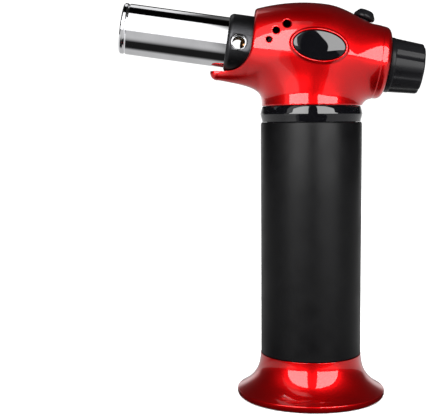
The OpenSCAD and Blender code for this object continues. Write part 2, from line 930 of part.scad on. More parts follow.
module ignition_button() {
    end_y = 6.8;
    end_r = 2.4;
    color([0.05, 0.05, 0.055])
        button_frame() {
            rotate_extrude(convexity = 4)
                polygon([[0, 3.1], [2.6, 3.0], [3.15, 2.75], [4.35, 1.1], [button_r - 0.05, 0.55],
                    [button_r, 0.1], [button_r - 0.1, -0.35], [button_r - 0.5, -0.75], [3.4, -0.95],
                    [3.2, -1.2], [3.2, paddle_top], [0, paddle_top]]);
            translate([0, 0, paddle_low])
                cylinder(h = paddle_top - paddle_low + 0.05, r = 3.2, $fn = small_fn);
            translate([-end_r, 0, paddle_low])
                cube([2 * end_r, end_y - 0.6, paddle_top - paddle_low]);
            translate([0, end_y, paddle_low])
                cylinder(h = paddle_top - paddle_low, r1 = end_r, r2 = end_r - 0.8, $fn = small_fn);
        }
}

// ---------- the knob and the valve ----------

module gas_knob() {
    taper = atan((knob_r - knob_end_r) / knob_length);
    groove_r = 3.1;
    groove_deep = 0.75;
    color([0.05, 0.05, 0.055])
        knob_frame()
            difference() {
                union() {
                    rotate_extrude()
                        polygon([[0, 2], [7.4, 2], [7.4, -4.5], [10.3, -4.5], [10.3, -2.95], [8.8, -2.95],
                            [8.8, 0], [knob_r - 0.1, 0], [knob_r + 0.1, 0.3], [knob_r + 0.1, 1.6],
                            [knob_r - 0.1, 2], [knob_end_r + 0.1, knob_length - 1.1],
                            [knob_end_r - 0.3, knob_length - 0.35], [knob_end_r - 1, knob_length],
                            [knob_end_r - 3, knob_length + 0.5], [4, knob_length + 0.9],
                            [0, knob_length + 1.05]]);
                    rotate([0, 0, 113])
                        translate([0, 0, -4.5])
                            rotate_extrude(angle = 16, $fn = small_fn)
                                translate([9.5, 0])
                                    square([1.95, 1.55]);
                }
                for (i = [0:knob_lobes - 1])
                    rotate([0, 0, 360 * (i + 0.5) / knob_lobes])
                        translate([knob_r + groove_r - groove_deep, 0, 2.6])
                            rotate([0, -taper, 0]) {
                                cylinder(h = knob_length + 3, r = groove_r, $fn = small_fn);
                                sphere(r = groove_r, $fn = small_fn);
                            }
                translate([0, 0, 1])
                    cylinder(h = 9, r = spindle_r + fit, $fn = small_fn);
            }
}

module valve_body() {
    c = axis_c;
    color([0.75, 0.6, 0.3])
        barrel()
            difference() {
                union() {
                    translate([0, 0, -26])
                        cylinder(h = 32, r = valve_r);
                    translate([0, 0, -29.5])
                        cylinder(h = 4, r = 3.6, $fn = small_fn);
                    translate([0, 0, inlet_s])
                        rotate([0, -90, 0])
                            cylinder(h = 11.5, r = 1.95, $fn = small_fn);
                    translate([0, 0, inlet_s])
                        rotate([0, -90, 0])
                            cylinder(h = 7.5, r = 3.2, $fn = small_fn);
                }
                translate([0, 0, -30])
                    cylinder(h = 3, r = 2.6, $fn = small_fn);
                translate([0, 0, -28])
                    cylinder(h = 17, r = spindle_r + 0.08, $fn = small_fn);
                translate([0, 0, -12])
                    cylinder(h = 8, r = 2.4, $fn = small_fn);
                translate([0, 0, -4.01])
                    cylinder(h = 1.2, r1 = 1.3, r2 = 0.55, $fn = small_fn);
                translate([0, 0, -3])
                    cylinder(h = 4, r = 0.55, $fn = 24);
                translate([0, 0, 0.5])
                    cylinder(h = 6, r = 2.05, $fn = small_fn);
                translate([0, 0, inlet_s])
                    rotate([0, -90, 0])
                        cylinder(h = 13, r = 0.9, $fn = small_fn);
            }
}

module valve_needle() {
    color([0.7, 0.7, 0.72])
        barrel()
            rotate_extrude()
                polygon([[0, -42], [1.4, -42], [spindle_r, -41.7], [spindle_r, -12.5], [1.1, -11.6],
                    [1.1, -5.4], [0.2, -4.2], [0, -4.2]]);
}

module needle_seal() {
    color([0.06, 0.06, 0.06])
        barrel()
            translate([0, 0, -28.2])
                rotate_extrude()
                    translate([spindle_r + 0.47, 0])
                        circle(r = 0.42, $fn = 32);
}

module gland_nut() {
    color([0.75, 0.6, 0.3])
        barrel()
            difference() {
                translate([0, 0, -32])
                    cylinder(h = 5.9, r = 5.4, $fn = 6);
                translate([0, 0, -29.6])
                    cylinder(h = 5, r = 3.65, $fn = small_fn);
                translate([0, 0, -33])
                    cylinder(h = 5, r = spindle_r + 0.12, $fn = small_fn);
            }
}

module gas_hose() {
    low = [hose_x, 0, 128.2];
    out = [-axis_s, 0, -axis_c];
    inlet = [-inlet_s * axis_c, 0, axis_z + inlet_s * axis_s];
    top = inlet + 7.7 * out;
    a = low + [0, 0, 4];
    b = inlet + 11.8 * out;
    pull = 5;
    n = 8;
    // straight on both nipples, with a smooth bend between them
    path = concat([low, (low + a) / 2],
        [for (i = [0:n]) let (t = i / n)
            (1 + 2 * t) * pow(1 - t, 2) * a + t * pow(1 - t, 2) * [0, 0, pull]
                + t * t * (3 - 2 * t) * b + t * t * (1 - t) * pull * out],
        [(b + top) / 2, top]);
    last = len(path) - 1;
    color([0.3, 0.3, 0.32])
        resize([0, 0, 0])
            difference() {
                sweep(path, 2.9, 24, [0, 1, 0]);
                sweep(concat([low - [0, 0, 1]], path, [top - out]), 2.02, 24, [0, 1, 0]);
            }
}

base();
base_plate();
foot_ring();
base_screws();
plate_screws();
fill_valve_body();
fill_valve_stem();
fill_valve_spring();
fill_valve_seal();
fill_valve_washer();
gas_tank();
tank_cap();
tank_seal();
wick_tube();
grip_sleeve();
neck_ring();
head_shell_near();
head_shell_far();
head_screws();
badge();
nozzle_collar();
flame_tube();
jet_holder();
gas_jet();
jet_pipe();
mixer_tube();
flame_holder();
electrode();
electrode_insulator();
ignition_wire();
piezo_igniter();
piezo_plunger();
piezo_spring();
ignition_button();
gas_knob();
valve_body();
valve_needle();
needle_seal();
gland_nut();
gas_hose();
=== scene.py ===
"""Looks of the table-top butane torch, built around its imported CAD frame.

Shapes are worked out in millimetres and turned into metres when a mesh is made.
Three local frames follow the CAD: the barrel (local z runs forward along the nozzle and local x points up),
the knob (local z runs back out of the knob) and the button (local z is its axis).
"""

import json
import math

import bpy
import numpy as np
from mathutils import Matrix, Vector


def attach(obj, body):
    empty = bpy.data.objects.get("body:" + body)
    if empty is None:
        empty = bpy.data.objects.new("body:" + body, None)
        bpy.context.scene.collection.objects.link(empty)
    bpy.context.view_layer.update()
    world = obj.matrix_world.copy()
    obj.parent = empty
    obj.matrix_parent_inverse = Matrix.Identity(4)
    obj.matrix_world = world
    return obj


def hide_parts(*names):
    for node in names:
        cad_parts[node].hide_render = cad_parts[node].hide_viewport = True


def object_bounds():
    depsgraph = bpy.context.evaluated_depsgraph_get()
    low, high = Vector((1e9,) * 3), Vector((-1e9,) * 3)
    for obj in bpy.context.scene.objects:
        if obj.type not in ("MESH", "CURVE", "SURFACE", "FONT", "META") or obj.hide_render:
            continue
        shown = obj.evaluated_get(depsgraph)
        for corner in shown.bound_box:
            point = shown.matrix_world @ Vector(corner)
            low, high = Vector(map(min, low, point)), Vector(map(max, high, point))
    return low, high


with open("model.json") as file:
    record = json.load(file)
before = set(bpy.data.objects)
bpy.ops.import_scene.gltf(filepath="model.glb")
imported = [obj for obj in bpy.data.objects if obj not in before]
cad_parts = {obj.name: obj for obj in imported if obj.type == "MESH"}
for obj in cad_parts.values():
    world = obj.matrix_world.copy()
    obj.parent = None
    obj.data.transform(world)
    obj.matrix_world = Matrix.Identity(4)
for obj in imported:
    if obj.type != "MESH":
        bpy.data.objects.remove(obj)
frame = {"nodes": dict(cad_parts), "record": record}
cad_low, cad_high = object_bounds()

MM = 0.001
TINY = 1e-6

# ---------- the CAD's own sizes, in millimetres and degrees ----------
# names that end in _S are places along the barrel, and names that end in _R are radii

TILT = 8.1
AXIS_Z = 150.6
AXIS_C = math.cos(math.radians(TILT))
AXIS_S = math.sin(math.radians(TILT))
# foot, grip and neck
GRIP_R = 22.0
GRIP_LOW = 19.2
GRIP_TOP = 121.3
FLARE_LOW, FLARE_TOP = 3.2, 26
FLARE_OUT, FLARE_POWER = 10.4, 4
FOOT_WALL = 2.6
SHELF_R = 28.2
DECK_LOW = 16.6
DECK_HOLE_R = 6.5
POST_RING = 20
RING_LOW, RING_TOP = 121.4, 128.2
RING_IN_R, RING_GROOVE_R = 19.6, 17.7
NECK_RIB_R = 17.7
NECK_Z = 128.3
NECK_R = 21.6
# head
HEAD_R = 22.0
HEAD_LIFT = 0.4
REAR_S = -32.6
FRONT_S = 26.9
SHELL_WALL = 2.2
CROWN_S = -3
CROWN_FRONT_DROP = 0.00682
CROWN_REAR_DROP, CROWN_REAR_RUN = 2.9, 27
WIDE_FROM, WIDE_SHARE = 15.5, 0.32
NECK_TOP_Z = 143
LIP_START, LIP_TIP = (20, -8.2), (39.4, -13.5)
LIP_R, LIP_TAPER = 9.8, 6.6
SKIN_FRONT_S, SKIN_REAR_S = 46, -38.6
VENTS = [(-11.9, 162.1, 1.65), (-16.5, 159.5, 1.4), (-19.5, 155.7, 1.15)]
HEAD_SCREWS = [(6, 14.3), (10, -12.6), (-22, -10.8)]
SCREW_SEAT, SCREW_HEAD_R, SCREW_TIP = 8, 2.8, -8
# nozzle
COLLAR_R = 12.7
COLLAR_FRONT = 37.3
COLLAR_HOLE_R = 13.0
HOLE_S = 32.2
HOLE_R = 3.25
TUBE_HOLE_R = 2.7
TUBE_R = 10.9
TUBE_WALL = 0.8
TUBE_END = 83.0
# knob
KNOB_R = 11.8
KNOB_SIDE_R = KNOB_R - 0.1
KNOB_TAPER = 0.0775
KNOB_LOBES = 8
KNOB_GAP = 0.3
SPINDLE_HOLE_R = 9.15
STOP_R = 10.8
# button
BUTTON_R = 4.7
BUTTON_TILT = 22.0
BUTTON_X, BUTTON_Z = 22.8, 166.35
DISH_FLOOR = -4.3
PADDLE_LOW, PADDLE_TOP = -8.7, -6.45
# badge
BADGE_X, BADGE_Z, BADGE_TILT = 1.0, 152.8, 8.5
BADGE_W, BADGE_H = 10.9, 5.9
BADGE_FACE, BADGE_FLOOR = -23.75, -22.7
PAD_GROW, PAD_DEEP = 1.1, 2.35

UPRIGHT = Matrix.Identity(4)
BARREL = Matrix.Translation((0, 0, AXIS_Z)) @ Matrix.Rotation(math.radians(TILT - 90), 4, "Y")
KNOB = BARREL @ Matrix.Translation((0, 0, REAR_S - KNOB_GAP)) @ Matrix.Rotation(math.pi, 4, "X")
BUTTON_TURN = Matrix.Rotation(math.radians(BUTTON_TILT), 4, "Y")
BUTTON = Matrix.Translation((BUTTON_X, 0, BUTTON_Z)) @ BUTTON_TURN

# ---------- meshes ----------


def placed(points, place):
    """Points in a local frame, in millimetres, as points in the CAD's frame, in metres."""
    m = np.array(place)
    return (np.asarray(points, float) @ m[:3, :3].T + m[:3, 3]) * MM


def new_piece(name, points, faces, place=UPRIGHT, normals=None):
    """A smooth mesh object from points in a local frame. Normals are in that frame too."""
    mesh = bpy.data.meshes.new(name)
    mesh.from_pydata(placed(points, place).tolist(), [], faces)
    mesh.polygons.foreach_set("use_smooth", [True] * len(mesh.polygons))
    mesh.update()
    if normals is not None:
        turned = np.asarray(normals, float) @ np.array(place)[:3, :3].T
        mesh.normals_split_custom_set_from_vertices(turned.tolist())
    piece = bpy.data.objects.new(name, mesh)
    bpy.context.scene.collection.objects.link(piece)
    return piece


def joined(first, *others):
    """Several meshes as one object, which keeps the first one's name."""
    bpy.context.view_layer.update()
    with bpy.context.temp_override(active_object=first, selected_editable_objects=[first, *others]):
        bpy.ops.object.join()
    return first


def unit(v):
    """The vectors at length one, with a null vector left as it is."""
    return v / np.maximum(np.linalg.norm(v, axis=-1, keepdims=True), 1e-12)


def ring_quads(first, second, turns):
    """Quads between two rings of points, given by the number of each ring's first point."""
    steps = [(i, (i + 1) % turns) for i in range(turns)]
    return [[first + i, first + j, second + j, second + i] for i, j in steps]


def rounded(points, size, steps=4):
    """A closed anticlockwise profile in (radius, height) with its corners rounded, and its normals."""
    smooth_turn = math.radians(24)
    most_of_side = 0.45
    out, normals = [], []
    count = len(points)
    for i in range(count):
        before, corner, after = (np.array(points[(i + k) % count], float) for k in (-1, 0, 1))
        u, v = corner - before, after - corner
        length_u, length_v = np.hypot(*u), np.hypot(*v)
        u, v = u / length_u, v / length_v
        if corner[0] < TINY:
            leaving = v if before[0] < TINY else u
            out.append(corner)
            normals.append(np.array([0.0, -np.sign(leaving[0]) or 1.0]))
            continue
        turn = math.atan2(u[0] * v[1] - u[1] * v[0], u @ v)
        if abs(turn) < smooth_turn:
            t = unit(u + v)
            out.append(corner)
            normals.append(np.array([t[1], -t[0]]))
            continue
        reach = min(size * math.tan(abs(turn) / 2), most_of_side * length_u, most_of_side * length_v)
        for k in range(steps + 1):
            f = k / steps
            start, end = corner - reach * u, corner + reach * v
            out.append((1 - f) ** 2 * start + 2 * f * (1 - f) * corner + f * f * end)
            t = unit((1 - f) * u + f * v)
            normals.append(np.array([t[1], -t[0]]))
    return np.array(out), np.array(normals)


def lathe(name, profile, size=0.3, segments=128, place=UPRIGHT, steps=4):
    """A closed anticlockwise profile turned about the local z axis, with its corners rounded."""
    rims, rim_normals = rounded(profile, size, steps)
    angles = np.linspace(0, 2 * math.pi, segments, endpoint=False)
    points, normals, rings = [], [], []
    for (radius, height), (nr, nz) in zip(rims, rim_normals):
        if radius < TINY:
            rings.append([len(points)] * segments)
            points.append((0, 0, height))
            normals.append((0, 0, nz))
            continue
        rings.append(list(range(len(points), len(points) + segments)))
        points.extend((radius * math.cos(a), radius * math.sin(a), height) for a in angles)
        normals.extend((nr * math.cos(a), nr * math.sin(a), nz) for a in angles)
    faces = []
    for lower, upper in zip(rings, rings[1:] + rings[:1]):
        if len(set(lower)) == 1 and len(set(upper)) == 1:
            continue
        for i in range(segments):
            j = (i + 1) % segments
            loop = [lower[i], lower[j], upper[j], upper[i]]
            faces.append([v for k, v in enumerate(loop) if v != loop[k - 1]])
    return new_piece(name, points, faces, place, normals)


def prism(name, outline, low, high, place=UPRIGHT):
    """A flat outline in local x and y, raised from low to high."""
    n = len(outline)
    points = [(x, y, low) for x, y in outline] + [(x, y, high) for x, y in outline]
    faces = [list(range(n))[::-1], list(range(n, 2 * n))]
    faces += [[i, (i + 1) % n, n + (i + 1) % n, n + i] for i in range(n)]
    piece = new_piece(name, points, faces, place)
    piece.data.set_sharp_from_angle(angle=math.radians(30))
    return piece


def carved(piece, cutters):
    """The piece less its cutters, with the cutters removed."""
    for cutter in cutters:
        m = piece.modifiers.new("cut", "BOOLEAN")
        m.operation, m.solver, m.object = "DIFFERENCE", "EXACT", cutter
    bpy.context.view_layer.update()
    graph = bpy.context.evaluated_depsgraph_get()
    mesh = bpy.data.meshes.new_from_object(piece.evaluated_get(graph))
    piece.modifiers.clear()
    piece.data = mesh
    for cutter in cutters:
        bpy.data.objects.remove(cutter)
    mesh.set_sharp_from_angle(angle=math.radians(35))
    return piece


# ---------- the head's shape, as a rule that is negative inside the plastic ----------


def soft_min(a, b, k):
    """The smaller of two fields, blended where they are within k of each other."""
    h = np.maximum(k - np.abs(a - b), 0) / k
    return np.minimum(a, b) - h * h * k / 4


def soft_max(a, b, k):
    return -soft_min(-a, -b, k)


def polygon_distance(u, v, corners):
    """Distance of (u, v) to a closed outline, negative inside it."""
    corners = [np.array(c, float) for c in corners]
    best, inside = None, None
    for a, b in zip(corners, corners[1:] + corners[:1]):
        edge = b - a
        wu, wv = u - a[0], v - a[1]
        t = np.clip((wu * edge[0] + wv * edge[1]) / (edge @ edge), 0, 1)
        square = (wu - t * edge[0]) ** 2 + (wv - t * edge[1]) ** 2
        best = square if best is None else np.minimum(best, square)
        crosses = ((a[1] <= v) != (b[1] <= v)) & ((edge[0] * wv - edge[1] * wu > 0) == (b[1] > a[1]))
        inside = crosses if inside is None else inside ^ crosses
    return np.sqrt(best) * np.where(inside, -1.0, 1.0)


def through(points, steps):
    """A smooth open curve through the points."""
    p = [np.array(q, float) for q in points]
    p = [2 * p[0] - p[1], *p, 2 * p[-1] - p[-2]]
    out = []
    for i in range(1, len(p) - 2):
        slope_in = p[i + 1] - p[i - 1]
        square = 2 * p[i - 1] - 5 * p[i] + 4 * p[i + 1] - p[i + 2]
        cube = 3 * p[i] - p[i - 1] - 3 * p[i + 1] + p[i + 2]
        for k in range(steps):
            t = k / steps
            out.append(0.5 * (2 * p[i] + slope_in * t + square * t**2 + cube * t**3))
    return [*out, p[-2]]


# the head's front edge seen from the side, as height over the axis and distance ahead of FRONT_S
FRONT_EDGE = through(
    [
        (-2, 0), (-5, 0.5), (-7.2, 1.4), (-9, 2.7), (-10.3, 4.4), (-11, 6.6),
        (-11.2, 9), (-11.3, 11.5), (-11.7, 13.6), (-12.4, 15), (-12.7, 22),
    ],
    3,
)
FRONT_SPACE = [(40, FRONT_S), *[(r, FRONT_S + s) for r, s in FRONT_EDGE], (-13, 70), (40, 70)]
# the rounded rear edge, as radius and place along the barrel, and everything ahead of it
REAR_EDGE = [
    (0, REAR_S), (12.7, REAR_S), (14, -32.3), (14.9, -31.7), (15.5, -30.8), (15.75, -29.8),
    (15.9, -28.6), (30, -23.6), (70, -23.6), (70, 80), (0, 80),
]


def top_line(s):
    """Height of the head over its axis, which falls away on both sides of the crown."""
    turn = np.pi * np.minimum(CROWN_S - s, CROWN_REAR_RUN) / CROWN_REAR_RUN
    rear = HEAD_R - CROWN_REAR_DROP * (1 - np.cos(turn))
    return np.where(s > CROWN_S, HEAD_R - CROWN_FRONT_DROP * (s - CROWN_S) ** 2, rear)


def ends_rounded(field, s):
    """The field, closed off ahead of and behind the head."""
    blend = 3
    return soft_max(soft_max(field, SKIN_REAR_S - s, blend), s - SKIN_FRONT_S, blend)


def hulls(s, y, r):
    """The head's outer face without and with the lip under the nozzle."""
    neck_blend, body_blend, lip_blend = 9, 6, 4
    x, z = AXIS_S * r - AXIS_C * s, AXIS_Z + AXIS_S * s + AXIS_C * r
    h = top_line(s) - HEAD_LIFT
    w = h + WIDE_SHARE * np.maximum(h - WIDE_FROM, 0)
    bulb = (np.sqrt(((r - HEAD_LIFT) / h) ** 2 + (y / w) ** 2) - 1) * (h + w) / 2
    neck = soft_max(np.hypot(x, y) - NECK_R, z - NECK_TOP_Z, neck_blend)
    from_s, from_r = s - LIP_START[0], r - LIP_START[1]
    ds, dr = LIP_TIP[0] - LIP_START[0], LIP_TIP[1] - LIP_START[1]
    t = np.clip((from_s * ds + from_r * dr) / (ds**2 + dr**2), 0, 1)
    lip = np.sqrt((from_s - t * ds) ** 2 + (from_r - t * dr) ** 2 + y**2) - (LIP_R - LIP_TAPER * t)
    body = soft_min(bulb, neck, body_blend)
    return ends_rounded(body, s), ends_rounded(soft_min(body, lip, lip_blend), s), x, z


def box_field(a, b, c, low, high):
    """Field of a box with corners low and high, in three local coordinates."""
    sides = [np.maximum(lo - q, q - hi) for q, lo, hi in zip((a, b, c), low, high)]
    return np.maximum(np.maximum(sides[0], sides[1]), sides[2])


def rod_field(u, v, w, radius, low, high):
    """Field of a round rod about the w axis."""
    return np.maximum(np.hypot(u, v) - radius, np.maximum(low - w, w - high))


def oval_field(x, z, grow):
    """Distance outside the badge's oval, grown by a margin."""
    a, b = BADGE_W + grow, BADGE_H + grow
    turn = math.radians(BADGE_TILT)
    u = (x - BADGE_X) * math.cos(turn) - (z - BADGE_Z) * math.sin(turn)
    v = (x - BADGE_X) * math.sin(turn) + (z - BADGE_Z) * math.cos(turn)
    q = np.sqrt((u / a) ** 2 + (v / b) ** 2) + 1e-9
    return (q - 1) * q / (np.sqrt((u / a**2) ** 2 + (v / b**2) ** 2) + 1e-9)


def slab_field(v, low, high):
    """Field of the space between two flat walls."""
    return np.maximum(low - v, v - high)


def inside_parts(s, y, r, bx, bz, z, wr, side):
    """Ribs, bosses and screw posts inside one half, with the button's frame in bx and bz."""
    from_axis = np.hypot(r, y)
    # rib that the collar's flange sits against
    ribs = np.maximum(rod_field(r, y, s, 26, 19.5, 21.5), 11.75 - from_axis)
    # two ribs across, with room for the valve
    valve_room = rod_field(r, y, s, 5.3, -40, 10)
    for low in (-25.5, 1):
        cross_rib = box_field(r, y, s, (-7, -30, low), (7, 30, low + 2))
        ribs = np.minimum(ribs, np.maximum(cross_rib, -valve_room))
    # rib round the neck
    ribs = np.minimum(ribs, np.maximum(slab_field(z, 129.2, 131.4), NECK_RIB_R - wr))
    # boss under the button
    ribs = np.minimum(ribs, rod_field(bx, y, bz, 7.2, -6.3, -0.3))
    post_r, low, high = (3, -30, 0) if side < 0 else (4, 0, 30)
    for at_s, at_r in HEAD_SCREWS:
        ribs = np.minimum(ribs, rod_field(s - at_s, r - at_r, y, post_r, low, high))
    if side < 0:
        # lug that the knob's tab meets, over a sector given in degrees
        turn = np.degrees(np.arctan2(y, r))
        mm_a_degree = 0.2
        lug = np.maximum(slab_field(s, -30.5, -28.4), slab_field(from_axis, 10.9, 14.4))
        return np.minimum(ribs, np.maximum(lug, slab_field(turn, -112, -70) * mm_a_degree))
    # cradle of the igniter, with the igniter's room and the wire's
    cradle = box_field(bx, y, bz, (-6, 5.6, -32.2), (6, 25.6, -20.2))
    cradle = np.maximum(cradle, -box_field(bx, y, bz, (-4.6, 0, -30.1), (4.6, 11, 0)))
    cradle = np.maximum(cradle, -box_field(bx, y, bz, (-10, 0, -26), (-2, 30, 4)))
    return np.minimum(ribs, cradle)


def head_field(s, y, r, side):
    """Negative inside the near half (side -1) or the far half (side 1)."""
    seam, seam_edge, edge, vent_edge, dish_edge, lip_edge = 0.02, 0.3, 0.4, 0.55, 0.9, 1.1
    inner, outer, x, z = hulls(s, y, r)
    rear = polygon_distance(np.hypot(y, r - HEAD_LIFT), s, REAR_EDGE)
    turn = math.radians(BUTTON_TILT)
    px, pz = x - BUTTON_X, z - BUTTON_Z
    bx, bz = px * math.cos(turn) - pz * math.sin(turn), px * math.sin(turn) + pz * math.cos(turn)
    body = soft_max(outer, rear, 0.5)
    if side < 0:
        pad = soft_max(oval_field(x, z, PAD_GROW), BADGE_FACE - y, 0.7)
        body = soft_min(body, np.maximum(pad, y - BADGE_FACE - PAD_DEEP), 0.8)
    cavity = np.maximum(inner + SHELL_WALL, REAR_S + 2.3 - s)
    shell = np.maximum(body, -cavity)
    extra = inside_parts(s, y, r, bx, bz, z, np.hypot(x, y), side)
    shell = np.minimum(shell, np.maximum(np.maximum(inner + SHELL_WALL / 2, rear), extra))
    # the open front, the collar's hole, the spindle's hole and the stop's room
    shell = soft_max(shell, -polygon_distance(r, s, FRONT_SPACE), lip_edge)
    shell = soft_max(shell, -rod_field(r, y, s, COLLAR_HOLE_R, 22, 62), edge)
    shell = soft_max(shell, -rod_field(r, y, s, SPINDLE_HOLE_R, -40, -28), seam_edge)
    shell = np.maximum(shell, -rod_field(r, y, s, STOP_R, -30.3, -27.7))
    # the dish round the button, and the button's hole
    cone = np.hypot(bx, y) - (4.4 + (bz - DISH_FLOOR) * 7.1 / 12)
    cone_lean = 0.86
    shell = soft_max(shell, -np.maximum(cone * cone_lean, DISH_FLOOR - bz), dish_edge)
    shell = soft_max(shell, -rod_field(bx, y, bz, 3.3, -12, 0), seam_edge)
    for vent_x, vent_z, radius in VENTS:
        hole = np.hypot(x - vent_x, z - vent_z) - radius
        shell = soft_max(shell, -np.maximum(hole, y), vent_edge)
    if side < 0:
        seat = np.maximum(oval_field(x, z, 0.22), y - BADGE_FLOOR)
        shell = soft_max(shell, -seat, edge)
        for at_s, at_r in HEAD_SCREWS:
            shell = np.maximum(shell, -rod_field(s - at_s, r - at_r, y, 1.25, SCREW_TIP, 1))
    else:
        for at_s, at_r in HEAD_SCREWS:
            recess = rod_field(s - at_s, r - at_r, y, SCREW_HEAD_R, SCREW_SEAT, 40)
            shell = soft_max(shell, -recess, edge)
            shell = np.maximum(shell, -rod_field(s - at_s, r - at_r, y, 1.5, -1, 20))
    shell = soft_max(shell, NECK_Z - z, 0.5)
    return soft_max(shell, seam - y * side, seam_edge)


def surface_net(field, low, high, step):
    """Points and quads where the field crosses zero, in the field's own coordinates."""
    axes = [np.arange(lo, hi + step, step) for lo, hi in zip(low, high)]
    s, y, r = axes[0][:, None, None], axes[1][None, :, None], axes[2][None, None, :]
    values = np.broadcast_to(field(s, y, r), [len(a) for a in axes])
    inside = values < 0
    cells = [n - 1 for n in values.shape]
    total = np.zeros((4, int(np.prod(cells))))
    loops = []
    for axis in range(3):
        lower = [slice(None)] * 3
        upper = [slice(None)] * 3
        lower[axis], upper[axis] = slice(None, -1), slice(1, None)
        a, b = values[tuple(lower)], values[tuple(upper)]
        at = np.argwhere(inside[tuple(lower)] != inside[tuple(upper)])
        va, vb = a[tuple(at.T)], b[tuple(at.T)]
        spot = at.astype(float)
        spot[:, axis] += va / (va - vb)
        side_u, side_v = (axis + 1) % 3, (axis + 2) % 3
        corner = []
        for du, dv in ((-1, -1), (0, -1), (0, 0), (-1, 0)):
            cell = at.copy()
            cell[:, side_u] += du
            cell[:, side_v] += dv
            flat = np.ravel_multi_index(tuple(cell.T), cells)
            corner.append(flat)
            for k in range(3):
                total[k] += np.bincount(flat, spot[:, k], total.shape[1])
            total[3] += np.bincount(flat, minlength=total.shape[1])
        quad = np.stack(corner, 1)
        loops.append(np.where((va < 0)[:, None], quad[:, ::-1], quad))
    used = np.flatnonzero(total[3])
    number = np.full(total.shape[1], -1)
    number[used] = np.arange(len(used))
    points = (total[:3, used] / total[3, used]).T * step + np.array([a[0] for a in axes])
    return points, number[np.concatenate(loops)]


def slope(field, p, h=0.04):
    """Gradient of the field at the points, from places h to each side."""
    parts = []
    for k in range(3):
        d = np.zeros(3)
        d[k] = h
        parts.append((field(*(p + d).T) - field(*(p - d).T)) / (2 * h))
    return np.stack(parts, 1)


def head_half(name, side):
    """One moulded half of the head, as a fine smooth mesh."""
    step = 0.42
    most_move = 0.3 * step
    settling_rounds = 4
    low_y, high_y = (-25.2, 0.9) if side < 0 else (-0.9, 25.2)

    def field(s, y, r):
        return head_field(s, y, r, side)

    points, quads = surface_net(field, (-33.6, low_y, -26.6), (43.6, high_y, 22.8), step)
    for _ in range(settling_rounds):
        g = slope(field, points)
        f = field(*points.T)
        move = f / np.maximum((g**2).sum(1), 0.2)
        points = points - np.clip(move, -most_move, most_move)[:, None] * g
    normals = unit(slope(field, points))
    order = [2, 1, 0]
    return new_piece(name, points[:, order], quads.tolist(), BARREL, normals[:, order])


# ---------- materials ----------

# the look of each material slot
MATERIALS = {}
BARREL_LEAN = (0, math.radians(TILT), 0)


class Shader:
    """A principled material with procedural layers that vary its colour, gloss and relief."""

    def __init__(self, name, color, roughness, metallic=0.0, **sockets):
        self.material = bpy.data.materials.new(name)
        self.material.use_nodes = True
        self.tree = self.material.node_tree
        self.shader = next(n for n in self.tree.nodes if n.type == "BSDF_PRINCIPLED")
        self.shader.inputs["Base Color"].default_value = (*color, 1)
        self.shader.inputs["Roughness"].default_value = roughness
        self.shader.inputs["Metallic"].default_value = metallic
        for socket, value in sockets.items():
            self.shader.inputs[socket.replace("_", " ")].default_value = value
        self.place = self.tree.nodes.new("ShaderNodeTexCoord")
        self.bump = None

    def node(self, kind, **values):
        n = self.tree.nodes.new(kind)
        for key, value in values.items():
            if key in n.inputs:
                n.inputs[key].default_value = value
            else:
                setattr(n, key, value)
        return n

    def noise(self, scale, detail=3.0, stretch=(1, 1, 1), turn=(0, 0, 0)):
        """Noise in object space, with features of about 1/scale metres."""
        mapping = self.node("ShaderNodeMapping")
        mapping.inputs["Scale"].default_value = stretch
        mapping.inputs["Rotation"].default_value = turn
        texture = self.node("ShaderNodeTexNoise", Scale=scale, Detail=detail)
        self.tree.links.new(self.place.outputs["Object"], mapping.inputs["Vector"])
        self.tree.links.new(mapping.outputs["Vector"], texture.inputs["Vector"])
        return texture.outputs["Fac"]

    def cells(self, scale):
        """Small flat cells in object space, with a random colour each."""
        texture = self.node("ShaderNodeTexVoronoi", Scale=scale)
        self.tree.links.new(self.place.outputs["Object"], texture.inputs["Vector"])
        return texture.outputs["Color"]

    def range(self, source, low, high, start=0.3, end=0.7):
        """The source's start to end spread over low to high."""
        n = self.node("ShaderNodeMapRange")
        for socket, value in (("From Min", start), ("From Max", end), ("To Min", low), ("To Max", high)):
            n.inputs[socket].default_value = value
        self.tree.links.new(source, n.inputs["Value"])
        return n.outputs["Result"]

    def tint(self, source, dark, light, start=0.3, end=0.7):
        """The base colour runs from dark to light with the source."""
        n = self.node("ShaderNodeValToRGB")
        first, last = n.color_ramp.elements
        first.position, last.position = start, end
        first.color, last.color = (*dark, 1), (*light, 1)
        self.tree.links.new(source, n.inputs["Fac"])
        self.tree.links.new(n.outputs["Color"], self.shader.inputs["Base Color"])
        return self

    def gloss(self, source, low, high):
        """The roughness runs from low to high with the source."""
        self.tree.links.new(self.range(source, low, high), self.shader.inputs["Roughness"])
        return self

    def relief(self, source, depth_mm, strength=1.0):
        """A bump of the given depth, on top of any before it."""
        n = self.node("ShaderNodeBump", Strength=strength, Distance=depth_mm * MM)
        self.tree.links.new(source, n.inputs["Height"])
        if self.bump is not None:
            self.tree.links.new(self.bump, n.inputs["Normal"])
        self.bump = n.outputs["Normal"]
        self.tree.links.new(self.bump, self.shader.inputs["Normal"])
        return self


def red_lacquer():
    """Candy red over fine metal flake, under a clear coat."""
    flakes_a_metre = 3200
    m = Shader(
        "red_lacquer", (0.5, 0.001, 0.0025), 0.32, 0.95, Coat_Weight=1.0, Coat_Roughness=0.03, Coat_IOR=1.42
    )
    m.tint(m.cells(flakes_a_metre), (0.535, 0.0006, 0.0017), (0.565, 0.0008, 0.0019))
    m.gloss(m.noise(60), 0.29, 0.34)
    m.relief(m.cells(flakes_a_metre), 0.001, 0.1)
    MATERIALS["red_lacquer"] = m.material


